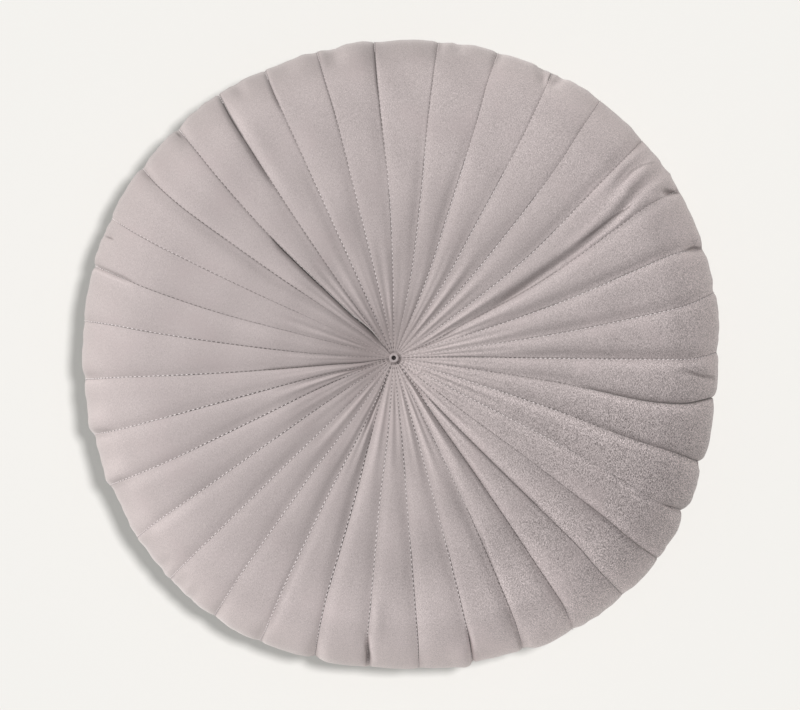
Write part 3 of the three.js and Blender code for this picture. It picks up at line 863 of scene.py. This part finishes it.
# In the dish the velvet is painted darker, with less sheen, as shade.
dishShadeFinish = {**velvetFinish, "light": (0.12, 0.1, 0.1, 1), "dark": (0.04, 0.035, 0.035, 1),
              "rose": (0.07, 0.06, 0.06, 1), "sheen": 0.05}


def node(tree, kind, inputs=None, **settings):
    made = tree.nodes.new(kind)
    for name, value in settings.items():
        setattr(made, name, value)
    for name, value in (inputs or {}).items():
        made.inputs[name].default_value = value
    return made


def maths(tree, operation, a, b=None, clamp=False):
    made = tree.nodes.new("ShaderNodeMath")
    made.operation = operation
    made.use_clamp = clamp
    for i, value in enumerate([a] if b is None else [a, b]):
        if isinstance(value, (int, float)):
            made.inputs[i].default_value = value
        else:
            tree.links.new(value, made.inputs[i])
    return made.outputs[0]


# The value's place between low and high, as a soft step from toLow to toHigh.
def between(tree, value, low, high, toLow=0.0, toHigh=1.0):
    ends = {"From Min": low, "From Max": high, "To Min": toLow, "To Max": toHigh}
    made = node(tree, "ShaderNodeMapRange", ends, interpolation_type="SMOOTHSTEP")
    tree.links.new(value, made.inputs["Value"])
    return made.outputs["Result"]


def mixed(tree, amount, a, b):
    made = node(tree, "ShaderNodeMix", data_type="RGBA", blend_type="MIX")
    for name, value in (("Factor", amount), ("A", a), ("B", b)):
        socket = [s for s in made.inputs
                  if s.name == name and s.type in ("RGBA", "VALUE") and s.enabled][0]
        if isinstance(value, (int, float, tuple)):
            socket.default_value = value
        else:
            tree.links.new(value, socket)
    return [s for s in made.outputs if s.enabled][0]


def velvet(name, finish, onCover):
    made = bpy.data.materials.new(name)
    made.use_nodes = True
    tree = made.node_tree
    shader = tree.nodes["Principled BSDF"]
    where = tree.nodes.new("ShaderNodeTexCoord").outputs["Object"]

    def noise(scale, detail, rough, stretch=(1, 1, 1), turn=0.0):
        mapping = node(tree, "ShaderNodeMapping", {"Scale": stretch, "Rotation": (0, 0, turn)})
        tree.links.new(where, mapping.inputs["Vector"])
        made = node(tree, "ShaderNodeTexNoise", {"Scale": scale, "Detail": detail, "Roughness": rough})
        tree.links.new(mapping.outputs["Vector"], made.inputs["Vector"])
        return made.outputs["Fac"]

    def plus(a, b):
        return maths(tree, "ADD", a, b)

    def minus(a, b):
        return maths(tree, "SUBTRACT", a, b)

    def times(a, b, clamp=False):
        return maths(tree, "MULTIPLY", a, b, clamp)

    def attribute(name):
        return node(tree, "ShaderNodeAttribute", attribute_name=name).outputs["Fac"]

    grain = noise(finish["grainScale"], 1, 0.5)
    fibre = noise(finish["fibreScale"], 1, 0.5, finish["fibreStretch"], 0.08)
    patches = noise(finish["patchScale"], 3, 0.6)
    broad = noise(finish["broadScale"], 2, 0.5)
    pile = plus(times(grain, 0.5), times(fibre, 0.5))
    contrast = finish["plainGrain"]
    if onCover:
        contrast = times(attribute("grainShown"), between(tree, broad, 0.3, 0.7, 0.85, 1.15))
    tips = plus(times(minus(pile, 0.5), contrast), 0.5)
    colour = mixed(tree, between(tree, tips, 0.24, 0.76), finish["dark"], finish["light"])
    split = node(tree, "ShaderNodeSeparateXYZ")
    tree.links.new(where, split.inputs[0])
    # painted shade, darker towards the lower right, away from the key light
    toLowerRight = minus(times(split.outputs["X"], 0.94), times(split.outputs["Y"], 0.34))
    toLowerRight = plus(toLowerRight, times(minus(broad, 0.5), 0.06))
    lowerRightShade = times(between(tree, toLowerRight, -0.02, 0.16), finish["lowerRightShadeShare"])
    colour = mixed(tree, lowerRightShade, colour, finish["lowerRightShade"])
    colour = mixed(tree, between(tree, patches, 0.5, 0.72, 0, 0.4), colour, finish["rose"])
    if onCover:
        # painted shade in the needle holes between the stitches, as dashes along each seam
        along = attribute("stitchAlong")
        shown = attribute("stitchShown")
        phase = times(along, 2 * math.pi / stitching["pitch"])
        bias = minus(1.3, times(maths(tree, "SQRT", shown), 2.1))
        dot = between(tree, minus(bias, maths(tree, "COSINE", phase)), -0.25, 0.25)
        near = between(tree, attribute("stitchAcross"), 0.44, 0.12)
        darkness = times(maths(tree, "MINIMUM", attribute("stitchShade"), 0.9), 0.58)
        strength = plus(darkness, times(shown, between(tree, along, 20, 90, 0.18, 0.36)))
        uneven = between(tree, noise(160, 1, 0.5), 0.35, 0.65, 0.7, 1.1)
        hole = times(times(dot, near), times(strength, uneven), True)
        colour = mixed(tree, hole, colour, finish["needleHole"])
        # painted shade inside the folds that gape and along wrinkles and pits
        gapeShade = between(tree, maths(tree, "ABSOLUTE", attribute("foldAway")), 1, 0.2)
        gapeShade = times(gapeShade, attribute("foldShade"), True)
        colour = mixed(tree, gapeShade, colour, finish["foldShadeColour"])
        # painted light and shade on fold flanks, over the rim, on crease lips and at single places
        litAndShaded = plus(plus(times(attribute("foldLightAndShade"), finish["foldLightAndShade"]), 1), attribute("paintedLightAndShade"))
        scaled = node(tree, "ShaderNodeVectorMath", operation="SCALE")
        tree.links.new(colour, scaled.inputs[0])
        tree.links.new(litAndShaded, scaled.inputs["Scale"])
        colour = scaled.outputs["Vector"]
    tree.links.new(colour, shader.inputs["Base Color"])
    bump = node(tree, "ShaderNodeBump", {"Strength": 0.3, "Distance": finish["pileDepth"]})
    tree.links.new(tips, bump.inputs["Height"])
    if onCover:
        pricked = node(tree, "ShaderNodeBump", {"Strength": 1, "Distance": finish["holeDepth"]},
                       invert=True)
        tree.links.new(hole, pricked.inputs["Height"])
        tree.links.new(bump.outputs["Normal"], pricked.inputs["Normal"])
        bump = pricked
    tree.links.new(bump.outputs["Normal"], shader.inputs["Normal"])
    shader.inputs["Roughness"].default_value = finish["roughness"]
    shader.inputs["Specular IOR Level"].default_value = finish["gloss"]
    shader.inputs["Sheen Weight"].default_value = finish["sheen"]
    shader.inputs["Sheen Roughness"].default_value = finish["sheenRoughness"]
    shader.inputs["Sheen Tint"].default_value = finish["sheenTint"]
    return made


threadFinish = {
    "dark": (0.72, 0.65, 0.64, 1),
    "light": (0.95, 0.88, 0.87, 1),
    "twistScale": 1500,
    "roughness": 0.6,
    "sheen": 0.2,
}


def spunThread(finish):
    made = bpy.data.materials.new("spunThread")
    made.use_nodes = True
    tree = made.node_tree
    shader = tree.nodes["Principled BSDF"]
    where = tree.nodes.new("ShaderNodeTexCoord").outputs["Object"]
    noise = node(tree, "ShaderNodeTexNoise", {"Scale": finish["twistScale"], "Detail": 2})
    tree.links.new(where, noise.inputs["Vector"])
    twist = between(tree, noise.outputs["Fac"], 0.35, 0.65)
    tree.links.new(mixed(tree, twist, finish["dark"], finish["light"]), shader.inputs["Base Color"])
    shader.inputs["Roughness"].default_value = finish["roughness"]
    shader.inputs["Sheen Weight"].default_value = finish["sheen"]
    return made


cover.data.materials.append(velvet("greigeVelvet", velvetFinish, True))
threads.data.materials.append(spunThread(threadFinish))
button.data.materials.clear()
button.data.materials.append(velvet("buttonVelvet", buttonFinish, False))
button.data.materials.append(velvet("dishShadeVelvet", dishShadeFinish, False))
# faces low in the dish take the painted shade
for p in button.data.polygons:
    fromMiddle = math.hypot(p.center.x - buttonMiddle[0], p.center.y - buttonMiddle[1])
    tall = p.center.z - buttonLow.z
    inDish = fromMiddle < buttonShape["hole"] * mm and tall < (buttonShape["height"] - 0.7) * mm
    p.material_index = int(inDish and tall > 0.1 * mm)

for piece, stands, slot in ((cover, "cushion", "velvet"), (threads, None, "velvet"),
                            (button, "centre_button", "covered_button")):
    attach(piece, "root")
    if stands:
        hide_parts(stands)
print("finishes on")

# The stage: a pale floor, soft light and the camera straight above.
stage = {
    "floor": (0.5, 0.485, 0.468, 1), "glow": (0.236, 0.241, 0.229, 1),
    # each light's azimuth and elevation, power, and size in metres or angle of softness
    "keyFrom": (156, 44), "keyPower": 18.5, "keySize": 1.1,
    "keyAway": 1.7,  # metres
    "fillFrom": (90, 89), "fillPower": 0.6, "fillSoft": 120,
    "floorFrom": (25, 76), "floorPower": 3.25, "floorSoft": 9,
    "world": 0.34, "sky": (0.97, 0.98, 1, 1),
    "cameraHeight": 6,  # metres
    "cameraAt": (-0.25, -0.34), "lens": 423.6,
}


# A lamp stands at its azimuth and elevation, so many metres away, and shines at the cushion.
def aim(lamp, azimuth, elevation, away=2):
    a, e = math.radians(azimuth), math.radians(elevation)
    toLight = Vector((math.cos(e) * math.cos(a), math.cos(e) * math.sin(a), math.sin(e)))
    lamp.rotation_euler = toLight.to_track_quat("Z", "Y").to_euler()
    lamp.location = toLight * away


def sun(name, place, power, soft):
    bpy.ops.object.light_add(type="SUN")
    lamp = bpy.context.object
    lamp.name = name
    lamp.data.energy = power
    lamp.data.angle = math.radians(soft)
    aim(lamp, *place)
    return lamp


bpy.ops.mesh.primitive_plane_add(size=8, location=(0, 0, -0.0001))
floor = bpy.context.object
floor.name = "paleFloor"
floorMaterial = bpy.data.materials.new("paleFloor")
floorMaterial.use_nodes = True
floorInputs = floorMaterial.node_tree.nodes["Principled BSDF"].inputs
floorInputs["Base Color"].default_value = stage["floor"]
floorInputs["Roughness"].default_value = 1
floorInputs["Specular IOR Level"].default_value = 0
floorInputs["Emission Color"].default_value = stage["glow"]
floorInputs["Emission Strength"].default_value = 1
floor.data.materials.append(floorMaterial)

bpy.ops.object.light_add(type="AREA")
key = bpy.context.object
key.name = "keyLight"
key.data.shape = "DISK"
key.data.size = stage["keySize"]
key.data.energy = stage["keyPower"]
aim(key, *stage["keyFrom"], stage["keyAway"])
fill = sun("fillLight", stage["fillFrom"], stage["fillPower"], stage["fillSoft"])
overFloor = sun("floorLight", stage["floorFrom"], stage["floorPower"], stage["floorSoft"])
onCushion = bpy.data.collections.new("litCushion")
for piece in (cover, threads, button):
    onCushion.objects.link(piece)
onFloor = bpy.data.collections.new("litFloor")
onFloor.objects.link(floor)
key.light_linking.receiver_collection = onCushion
fill.light_linking.receiver_collection = onCushion
overFloor.light_linking.receiver_collection = onFloor

world = bpy.data.worlds.new("studio")
world.use_nodes = True
world.node_tree.nodes["Background"].inputs["Color"].default_value = stage["sky"]
world.node_tree.nodes["Background"].inputs["Strength"].default_value = stage["world"]
bpy.context.scene.world = world

cameraData = bpy.data.cameras.new("above")
cameraData.lens = stage["lens"]
cameraData.sensor_width = 36
camera = bpy.data.objects.new("above", cameraData)
cameraX, cameraY = stage["cameraAt"]
camera.location = (cameraX * mm, cameraY * mm, stage["cameraHeight"])
bpy.context.scene.collection.objects.link(camera)
bpy.context.scene.camera = camera
print("stage ready")
